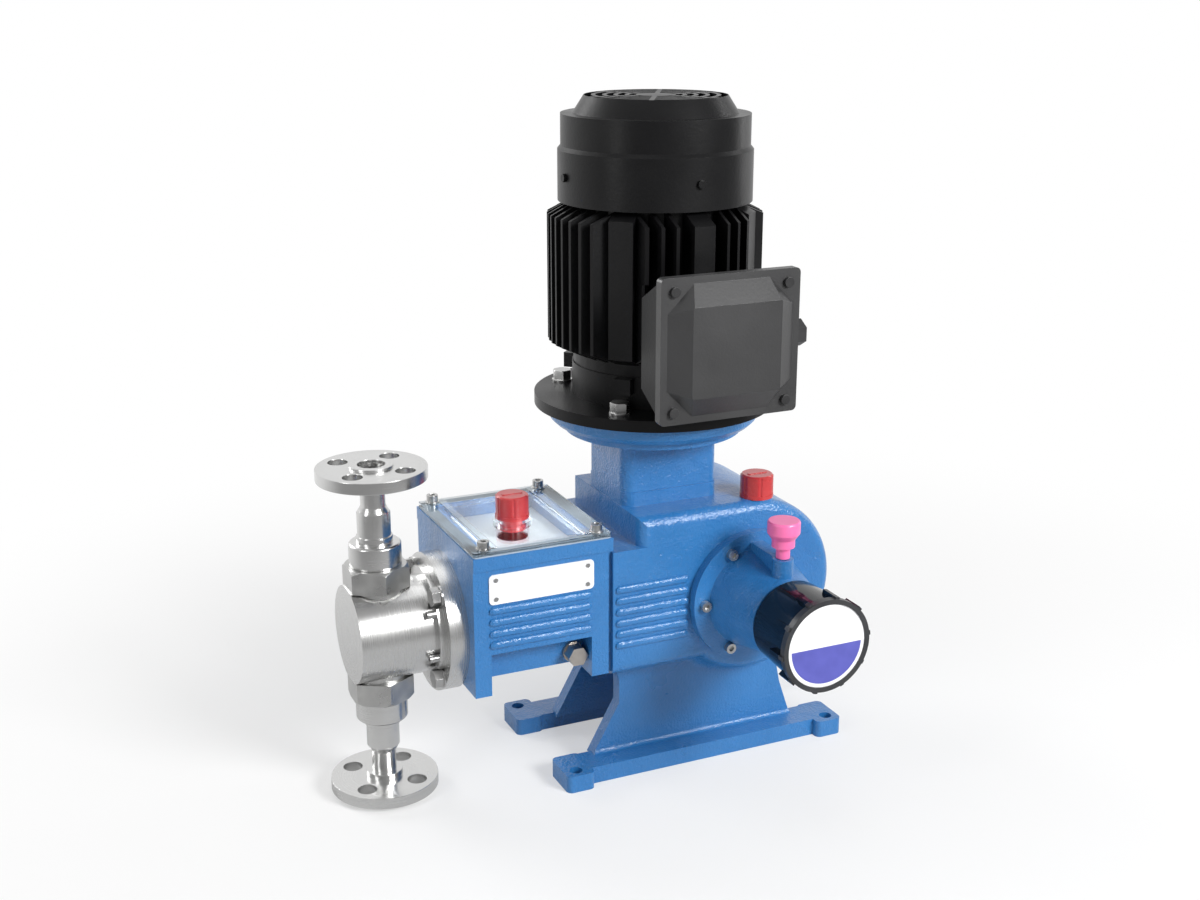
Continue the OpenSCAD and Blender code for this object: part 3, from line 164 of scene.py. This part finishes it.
def enamel(name, dark, light, peel_scale, peel_depth, roughness, coat, shine=0.5):
    """Sprayed enamel over a casting: orange peel, slow waves and uneven gloss."""
    material, tree, main = new_material(name)
    at = place(tree)
    shade = noise(tree, at, 14.0, 3.0)
    peel = noise(tree, at, peel_scale, 2.0, 0.55)
    wave = noise(tree, at, peel_scale / 6, 1.0)
    plug(tree, main, "Base Color", ramp(tree, shade, dark, light, 0.25, 0.75))
    plug(tree, main, "Roughness", span(tree, shade, roughness * 0.85, roughness * 1.2))
    plug(tree, main, "Specular IOR Level", shine)
    plug(tree, main, "Coat Weight", coat)
    plug(tree, main, "Coat Roughness", 0.12)
    skin = bump(tree, wave, peel_depth * 1.1)
    skin = bump(tree, peel, peel_depth, normal=skin)
    plug(tree, main, "Normal", skin)
    plug(tree, main, "Coat Normal", skin)
    return material


def turned_steel(name, axis, centre, tone, roughness):
    """Steel turned on a lathe round one axis: rings along the barrel and on the end faces."""
    material, tree, main = new_material(name)
    offset = node(tree, "ShaderNodeVectorMath", {0: place(tree), 1: centre}, operation="SUBTRACT")
    parts = node(tree, "ShaderNodeSeparateXYZ", {0: offset.outputs[0]})
    across = [letter for letter in "XYZ" if letter != axis]
    flat = node(tree, "ShaderNodeCombineXYZ", {"X": parts.outputs[across[0]], "Y": parts.outputs[across[1]]})
    radius = node(tree, "ShaderNodeVectorMath", {0: flat.outputs[0]}, operation="LENGTH").outputs["Value"]
    lathe = node(tree, "ShaderNodeCombineXYZ", {"X": parts.outputs[axis], "Y": radius}).outputs[0]
    rings = noise(tree, lathe, 2600.0, 2.0, 0.6)
    bands = noise(tree, lathe, 160.0, 2.0, 0.5)
    smear = noise(tree, place(tree), 30.0, 3.0)
    plug(tree, main, "Base Color", ramp(tree, bands, [t * 0.96 for t in tone], tone))
    plug(tree, main, "Metallic", 1.0)
    gloss = span(tree, rings, roughness * 0.85, roughness * 1.05)
    plug(tree, main, "Roughness", math_node(tree, "ADD", gloss, span(tree, smear, 0.0, 0.06)))
    plug(tree, main, "Normal", bump(tree, rings, RING_DEPTH))
    return material


def plain_metal(name, dark, light, roughness, grain=900.0, depth=0.00002):
    """Machined or plated metal with a fine grain and a faint haze."""
    material, tree, main = new_material(name)
    at = place(tree)
    haze = noise(tree, at, 60.0, 3.0)
    fine = noise(tree, at, grain, 2.0, 0.6)
    plug(tree, main, "Base Color", ramp(tree, haze, dark, light))
    plug(tree, main, "Metallic", 1.0)
    plug(tree, main, "Roughness", span(tree, haze, roughness * 0.8, roughness * 1.25))
    plug(tree, main, "Normal", bump(tree, fine, depth))
    return material


def moulded(name, dark, light, roughness, grain=1200.0, depth=0.00002, coat=0.0):
    """Moulded or painted skin with a fine grain and slow changes of tone."""
    material, tree, main = new_material(name)
    at = place(tree)
    slow = noise(tree, at, 40.0, 2.0)
    fine = noise(tree, at, grain, 2.0, 0.5)
    plug(tree, main, "Base Color", ramp(tree, slow, dark, light))
    plug(tree, main, "Roughness", span(tree, slow, roughness * 0.85, roughness * 1.15))
    plug(tree, main, "Coat Weight", coat)
    plug(tree, main, "Coat Roughness", 0.08)
    plug(tree, main, "Normal", bump(tree, fine, depth))
    return material


def clear_plastic(name):
    """Clear sheet that lets lamp light through without a dark shadow."""
    material, tree, main = new_material(name)
    haze = noise(tree, place(tree), 25.0, 3.0)
    plug(tree, main, "Base Color", ramp(tree, haze, (0.86, 0.91, 0.94), (0.93, 0.97, 0.99)))
    plug(tree, main, "Roughness", span(tree, haze, 0.02, 0.06))
    plug(tree, main, "Transmission Weight", 1.0)
    plug(tree, main, "IOR", 1.16)
    plug(tree, main, "Coat Weight", 0.6)
    plug(tree, main, "Coat Roughness", 0.03)
    rays = node(tree, "ShaderNodeLightPath")
    through = node(tree, "ShaderNodeBsdfTransparent", {"Color": (0.94, 0.97, 0.98, 1)})
    mixed = node(tree, "ShaderNodeMixShader", {0: rays.outputs["Is Shadow Ray"], 1: main.outputs[0],
                                               2: through.outputs[0]})
    tree.links.new(mixed.outputs[0], tree.nodes["Material Output"].inputs["Surface"])
    return material


def spangled_sheet(name):
    """Bright sheet metal with a scatter of small crystals."""
    material, tree, main = new_material(name)
    at = place(tree)
    cells = node(tree, "ShaderNodeTexVoronoi", {"Vector": at, "Scale": 380.0})
    speck = noise(tree, at, 900.0, 3.0, 0.7)
    plug(tree, main, "Base Color", ramp(tree, speck, (0.66, 0.67, 0.68), (1.0, 1.0, 1.0), 0.38, 0.56))
    plug(tree, main, "Metallic", 0.35)
    plug(tree, main, "Roughness", span(tree, cells.outputs["Distance"], 0.3, 0.55, 0.0, 0.6))
    plug(tree, main, "Normal", bump(tree, speck, 0.00008))
    return material


def dial_face(name):
    """Two-colour dial: white above the middle, violet below, a white ring round both."""
    material, tree, main = new_material(name)
    at = place(tree)
    offset = node(tree, "ShaderNodeVectorMath", {0: at, 1: (WHEEL_X, 0, WHEEL_Z)}, operation="SUBTRACT")
    parts = node(tree, "ShaderNodeSeparateXYZ", {0: offset.outputs[0]})
    flat = node(tree, "ShaderNodeCombineXYZ", {"X": parts.outputs["X"], "Y": parts.outputs["Z"]})
    radius = node(tree, "ShaderNodeVectorMath", {0: flat.outputs[0]}, operation="LENGTH").outputs["Value"]
    low_half = math_node(tree, "LESS_THAN", parts.outputs["Z"], -0.0005)
    inside = math_node(tree, "LESS_THAN", radius, DIAL_FIELD_RADIUS)
    violet = math_node(tree, "MULTIPLY", low_half, inside)
    tint = noise(tree, at, 90.0, 2.0)
    white = ramp(tree, tint, (0.80, 0.80, 0.82), (0.86, 0.86, 0.87))
    blue = ramp(tree, tint, (0.080, 0.085, 0.38), (0.095, 0.10, 0.43))
    mixed = node(tree, "ShaderNodeMix", {"Factor": violet, 6: white, 7: blue}, data_type="RGBA")
    plug(tree, main, "Base Color", mixed.outputs[2])
    plug(tree, main, "Roughness", span(tree, tint, 0.28, 0.36))
    plug(tree, main, "Normal", bump(tree, noise(tree, at, 1500.0), 0.00001))
    return material


def knob_skin(name):
    """Glossy black knob whose front rim is dull and a little paler."""
    material, tree, main = new_material(name)
    at = place(tree)
    depth = node(tree, "ShaderNodeSeparateXYZ", {0: at}).outputs["Y"]
    rim = span(tree, depth, 1.0, 0.0, KNOB_RIM_Y - 0.0002, KNOB_RIM_Y + 0.0002)
    slow = noise(tree, at, 40.0, 2.0)
    gloss = ramp(tree, slow, (0.004, 0.005, 0.007), (0.006, 0.007, 0.010))
    dull = ramp(tree, slow, (0.030, 0.031, 0.034), (0.042, 0.043, 0.046))
    mixed = node(tree, "ShaderNodeMix", {"Factor": rim, 6: gloss, 7: dull}, data_type="RGBA")
    plug(tree, main, "Base Color", mixed.outputs[2])
    plug(tree, main, "Roughness", span(tree, rim, 0.10, 0.34, 0.0, 1.0))
    plug(tree, main, "Specular IOR Level", 0.35)
    plug(tree, main, "Normal", bump(tree, noise(tree, at, 700.0), 0.00001))
    return material


def make_materials():
    """One material for each finish on the pump."""
    steel = (0.64, 0.64, 0.635)
    return {
        "blue": enamel("blue_enamel", (0.020, 0.148, 0.39), (0.030, 0.182, 0.455), 480.0, 0.0008, 0.30, 0.4),
        "black": enamel("black_enamel", (0.0035, 0.0035, 0.004), (0.0065, 0.0065, 0.007), 420.0, 0.00009,
                        0.36, 0.0, 0.22),
        "cover": enamel("black_cover", (0.030, 0.030, 0.031), (0.038, 0.038, 0.039), 420.0, 0.00009, 0.4, 0.1),
        "head": turned_steel("head_steel", "X", (0, 0, PLUNGER_Z), steel, 0.25),
        "valve": turned_steel("valve_steel", "Z", (VALVE_X, 0, 0), steel, 0.23),
        "nut": plain_metal("nut_steel", (0.46, 0.46, 0.455), (0.58, 0.58, 0.57), 0.33),
        "fastener": plain_metal("zinc_screws", (0.42, 0.42, 0.42), (0.60, 0.60, 0.59), 0.3),
        "machined": plain_metal("machined_steel", (0.35, 0.35, 0.36), (0.48, 0.48, 0.49), 0.34),
        "bronze": plain_metal("bronze", (0.50, 0.30, 0.11), (0.64, 0.42, 0.16), 0.34),
        "ball": moulded("ball_ceramic", (0.78, 0.77, 0.73), (0.84, 0.83, 0.80), 0.12),
        "packing": moulded("braided_packing", (0.55, 0.52, 0.44), (0.72, 0.69, 0.60), 0.8, 900.0, 0.0004),
        "sheet": spangled_sheet("bright_sheet"),
        "clear": clear_plastic("clear_lid"),
        "rubber": moulded("gasket_rubber", (0.34, 0.40, 0.46), (0.44, 0.50, 0.56), 0.6),
        "red": moulded("red_cap", (0.46, 0.030, 0.032), (0.56, 0.045, 0.048), 0.3, 700.0, 0.00004, 0.3),
        "pink": moulded("pink_knob", (0.82, 0.13, 0.36), (0.90, 0.19, 0.44), 0.38, 700.0, 0.00004, 0.2),
        "gloss": knob_skin("black_gloss"),
        "dull": moulded("black_plastic", (0.016, 0.016, 0.017), (0.028, 0.028, 0.029), 0.42, 900.0, 0.00004),
        "plate": moulded("name_plate", (0.78, 0.79, 0.80), (0.86, 0.87, 0.88), 0.3, 900.0, 0.00001, 0.2),
        "plug": plain_metal("plug_metal", (0.38, 0.34, 0.31), (0.58, 0.55, 0.51), 0.3),
        "iron": moulded("stator_iron", (0.10, 0.05, 0.03), (0.20, 0.11, 0.07), 0.5, 500.0, 0.0003),
        "dial": dial_face("dial_face"),
    }


FINISHES = {
    "blue": "gear_housing back_cover plunger_chamber adjuster_housing",
    "black": "motor_shield motor_frame fan_cowl terminal_box cowl_screws",
    "cover": "terminal_cover",
    "head": "pump_head plunger packing_gland",
    "valve": "suction_pipe discharge_pipe valve_seats valve_cages",
    "nut": "suction_nut discharge_nut plunger_nut",
    "fastener": "back_cover_screws chamber_screws lid_screws head_bolts vent_screws gland_screws "
                "adjuster_screws flange_bolts plate_rivets",
    "machined": "crosshead crosshead_pin connecting_rod eccentric_shaft worm_shaft coupling bearings "
                "adjust_spindle motor_rotor",
    "bronze": "worm_wheel guide_bush stroke_rings lantern_ring",
    "ball": "suction_ball discharge_ball",
    "packing": "packing_rings",
    "sheet": "splash_plate",
    "clear": "chamber_lid",
    "rubber": "lid_gasket",
    "red": "lid_cap oil_cap",
    "pink": "lock_screw",
    "gloss": "adjust_knob",
    "dull": "terminal_screws cable_gland cooling_fan",
    "plate": "name_plate",
    "plug": "drain_plugs",
    "iron": "stator",
    "dial": "dial_plate",
}

# Radius of the worn or cast edge of each node, in metres
EDGE_RADIUS = {
    "gear_housing": 0.0022, "plunger_chamber": 0.0016, "adjuster_housing": 0.0018, "back_cover": 0.0015,
    "pump_head": 0.0008, "suction_pipe": 0.0006, "discharge_pipe": 0.0006, "suction_nut": 0.0006,
    "discharge_nut": 0.0006, "motor_shield": 0.0012, "motor_frame": 0.0008, "fan_cowl": 0.0010,
    "terminal_box": 0.0015, "terminal_cover": 0.0012, "chamber_lid": 0.0005, "lid_cap": 0.0006,
    "oil_cap": 0.0006, "adjust_knob": 0.0008, "lock_screw": 0.0012, "head_bolts": 0.0004,
    "flange_bolts": 0.0004, "lid_screws": 0.0003, "adjuster_screws": 0.0004, "vent_screws": 0.0003,
    "drain_plugs": 0.0005, "name_plate": 0.0004, "cable_gland": 0.0006, "terminal_screws": 0.0004,
    "cowl_screws": 0.0004, "plate_rivets": 0.0003, "back_cover_screws": 0.0004,
}


def smooth_group():
    """Node group that shades smooth except over sharp edges."""
    group = bpy.data.node_groups.new("smooth_by_angle", "GeometryNodeTree")
    group.interface.new_socket("Geometry", in_out="INPUT", socket_type="NodeSocketGeometry")
    group.interface.new_socket("Geometry", in_out="OUTPUT", socket_type="NodeSocketGeometry")
    start = group.nodes.new("NodeGroupInput")
    end = group.nodes.new("NodeGroupOutput")
    angle = group.nodes.new("GeometryNodeInputMeshEdgeAngle")
    sharp = group.nodes.new("FunctionNodeCompare")
    sharp.operation = "GREATER_THAN"
    sharp.inputs["B"].default_value = math.radians(SHARP_ANGLE)
    faces = group.nodes.new("GeometryNodeSetShadeSmooth")
    edges = group.nodes.new("GeometryNodeSetShadeSmooth")
    edges.domain = "EDGE"
    edges.inputs["Shade Smooth"].default_value = False
    group.links.new(start.outputs[0], faces.inputs["Geometry"])
    group.links.new(faces.outputs[0], edges.inputs["Geometry"])
    group.links.new(angle.outputs["Unsigned Angle"], sharp.inputs["A"])
    group.links.new(sharp.outputs["Result"], edges.inputs["Selection"])
    group.links.new(edges.outputs[0], end.inputs[0])
    return group


def round_edges(obj, radius, group):
    """Joins the loose facets of a node and rounds its sharp edges."""
    weld = obj.modifiers.new("weld", "WELD")
    weld.merge_threshold = 0.000002
    flat = obj.modifiers.new("flat_faces", "DECIMATE")
    flat.decimate_type = "DISSOLVE"
    flat.angle_limit = math.radians(0.6)
    edge = obj.modifiers.new("edge", "BEVEL")
    edge.width = radius
    edge.segments = 2
    edge.limit_method = "ANGLE"
    edge.angle_limit = math.radians(SHARP_ANGLE)
    edge.use_clamp_overlap = True
    edge.harden_normals = False
    shade = obj.modifiers.new("shade", "NODES")
    shade.node_group = group
    crisp = obj.modifiers.new("crisp", "WEIGHTED_NORMAL")
    crisp.keep_sharp = True
    crisp.weight = 90


def dress_nodes(materials, group):
    """Gives each CAD node its finish and its rounded edges."""
    for finish, names in FINISHES.items():
        for name in names.split():
            obj = nodes[name]
            obj.data.materials.clear()
            obj.data.materials.append(materials[finish])
            if name in EDGE_RADIUS:
                round_edges(obj, EDGE_RADIUS[name], group)


def add_mesh(name, shape, material, body, smooth=False):
    """Piece made from a finished shape, carried by a body."""
    bmesh.ops.recalc_face_normals(shape, faces=shape.faces)
    mesh = bpy.data.meshes.new(name)
    shape.to_mesh(mesh)
    shape.free()
    mesh.polygons.foreach_set("use_smooth", [smooth] * len(mesh.polygons))
    mesh.materials.append(material)
    piece = bpy.data.objects.new(name, mesh)
    bpy.context.scene.collection.objects.link(piece)
    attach(piece, body)
    return piece


def add_bar(name, outline, start, end, material, body):
    """Bar along Y with the given outline in X and Z."""
    shape = bmesh.new()
    rings = [[shape.verts.new((x, y, z)) for x, z in outline] for y in (start, end)]
    for i in range(len(outline)):
        j = (i + 1) % len(outline)
        shape.faces.new((rings[0][i], rings[0][j], rings[1][j], rings[1][i]))
    shape.faces.new(rings[0])
    shape.faces.new(rings[1][::-1])
    return add_mesh(name, shape, material, body)


def add_lid_strips(materials, group):
    """Low clear strips along the short edges of the lid, between its screws."""
    low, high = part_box("chamber_lid")
    middle = (low[0] + high[0]) / 2
    bottom, top = high[2] + STRIP_GAP, high[2] + STRIP_TOP
    for side, name in ((-1, "lid_strip_left"), (1, "lid_strip_right")):
        left, right = (middle + side * STRIP_X + edge * STRIP_HALF for edge in (-1, 1))
        outline = [(left, bottom), (right, bottom), (right, top), (left, top)]
        bar = add_bar(name, outline, low[1] + STRIP_END, high[1] - STRIP_END, materials["clear"],
                      "pump")
        round_edges(bar, STRIP_EDGE, group)


def add_rib(shape, first, last, face, height):
    """Adds one half-round rib along X, with rounded ends, to a shape."""
    round_steps, cap_steps = 24, 6
    stations = []
    for step in range(1, cap_steps + 1):
        turn = math.pi / 2 * step / cap_steps
        stations.append((first + RIB_HALF * (1 - math.cos(turn)), math.sin(turn)))
    stations += [(first + last - x, size) for x, size in reversed(stations)]
    rings = []
    for x, size in stations:
        turns = [2 * math.pi * k / round_steps for k in range(round_steps)]
        rings.append([shape.verts.new((x, face + RIB_RISE * size * math.cos(turn),
                                       height + RIB_HALF * size * math.sin(turn))) for turn in turns])
    for one, two in zip(rings, rings[1:]):
        for k in range(round_steps):
            shape.faces.new((one[k], one[k - 1], two[k - 1], two[k]))
    for ring, x in ((rings[0], first), (rings[-1], last)):
        tip = shape.verts.new((x, face, height))
        for k in range(round_steps):
            shape.faces.new((ring[k], ring[k - 1], tip))


def add_ribs(materials):
    """Rows of half-round ribs on the case and on both sides of the chamber."""
    for name, (first, last, face, count) in RIB_ROWS.items():
        shape = bmesh.new()
        for i in range(count):
            add_rib(shape, first, last, face, RIB_TOP - i * RIB_PITCH)
        add_mesh(name, shape, materials["blue"], "pump", smooth=True)


def rays_that_see(tree):
    """1 for camera, glossy and transmission rays, 0 for the rest; and 1 for glossy rays alone."""
    rays = node(tree, "ShaderNodeLightPath")
    shine = rays.outputs["Is Glossy Ray"]
    beyond = math_node(tree, "MAXIMUM", shine, rays.outputs["Is Transmission Ray"])
    return math_node(tree, "MAXIMUM", rays.outputs["Is Camera Ray"], beyond), shine


def make_floor():
    """Pale floor that keeps the shadow and turns white away from the object."""
    bpy.ops.mesh.primitive_plane_add(size=FLOOR_SIZE, location=(0, 0, 0))
    floor = bpy.context.object
    floor.name = "floor"
    material, tree, main = new_material("floor")
    at = place(tree)
    speck = noise(tree, at, 3.0, 2.0)
    plug(tree, main, "Base Color", ramp(tree, speck, (0.80, 0.80, 0.80), (0.82, 0.82, 0.82)))
    plug(tree, main, "Roughness", 0.9)
    reach = node(tree, "ShaderNodeVectorMath", {0: at}, operation="LENGTH").outputs["Value"]
    fade = node(tree, "ShaderNodeMapRange", {"Value": reach, "From Min": FADE_START, "From Max": FADE_END,
                                             "To Min": FADE_LEAST},
                interpolation_type="SMOOTHSTEP").outputs["Result"]
    seen, shine = rays_that_see(tree)
    depth = node(tree, "ShaderNodeSeparateXYZ", {0: at}).outputs["Y"]
    behind = span(tree, depth, *FLOOR_LEVELS, -0.2, 0.6)
    level = node(tree, "ShaderNodeMix", {"Factor": shine, 2: 1.0, 3: behind}, data_type="FLOAT").outputs[0]
    white = node(tree, "ShaderNodeEmission", {"Color": (1, 1, 1, 1), "Strength": level})
    mixed = node(tree, "ShaderNodeMixShader", {0: math_node(tree, "MULTIPLY", seen, fade),
                                               1: main.outputs[0], 2: white.outputs[0]})
    tree.links.new(mixed.outputs[0], tree.nodes["Material Output"].inputs["Surface"])
    floor.data.materials.append(material)


def make_world():
    """Soft studio surround: white for the camera, graded for what shines, plain fill for the rest."""
    world = bpy.data.worlds.new("studio")
    bpy.context.scene.world = world
    world.use_nodes = True
    tree = world.node_tree
    fill = tree.nodes["Background"]
    fill.inputs["Color"].default_value = (1, 1, 1, 1)
    fill.inputs["Strength"].default_value = FILL_LIGHT
    seen, shine = rays_that_see(tree)
    heading = node(tree, "ShaderNodeTexCoord").outputs["Generated"]
    depth = node(tree, "ShaderNodeSeparateXYZ", {0: heading}).outputs["Y"]
    room = span(tree, depth, *ROOM_LEVELS, 0.0, 0.7)
    level = node(tree, "ShaderNodeMix", {"Factor": shine, 2: 1.0, 3: room}, data_type="FLOAT")
    white = node(tree, "ShaderNodeBackground", {"Color": (1, 1, 1, 1), "Strength": level.outputs[0]})
    mixed = node(tree, "ShaderNodeMixShader", {0: seen, 1: fill.outputs[0], 2: white.outputs[0]})
    tree.links.new(mixed.outputs[0], tree.nodes["World Output"].inputs["Surface"])


def add_softbox(name, place_at, target, width, height, power):
    """Rectangular lamp that looks at a point."""
    data = bpy.data.lights.new(name, "AREA")
    data.shape = "RECTANGLE"
    data.size = width
    data.size_y = height
    data.energy = power
    lamp = bpy.data.objects.new(name, data)
    lamp.location = place_at
    lamp.rotation_euler = (Vector(target) - Vector(place_at)).to_track_quat("-Z", "Y").to_euler()
    bpy.context.scene.collection.objects.link(lamp)


def make_lights():
    """Key from the upper right front, a top light, a strip on each side and a soft light behind."""
    middle = (-0.06, 0, 0.25)
    add_softbox("key", (0.95, -2.0, 1.45), middle, 1.0, 0.8, 72)
    add_softbox("top", (-0.1, 0.3, 2.1), middle, 1.2, 1.2, 6)
    add_softbox("left_strip", (-1.6, -0.5, 0.9), middle, 0.4, 1.3, 7)
    add_softbox("right_strip", (1.5, 0.2, 0.8), middle, 0.12, 1.3, 3)
    add_softbox("back", (-1.1, 1.5, 1.1), middle, 0.9, 0.7, 14)


def make_camera():
    """Camera at the photograph's place."""
    data = bpy.data.cameras.new("camera")
    data.lens = CAMERA_LENS
    data.sensor_width = 36.0
    data.clip_start = 0.05
    camera = bpy.data.objects.new("camera", data)
    camera.location = CAMERA_PLACE
    camera.rotation_euler = (math.radians(90 - CAMERA_PITCH), 0, math.radians(-CAMERA_YAW))
    bpy.context.scene.collection.objects.link(camera)
    bpy.context.scene.camera = camera


bpy.context.scene.view_settings.view_transform = "Standard"
materials = make_materials()
smooth = smooth_group()
dress_nodes(materials, smooth)
add_lid_strips(materials, smooth)
add_ribs(materials)
make_floor()
make_world()
make_lights()
make_camera()
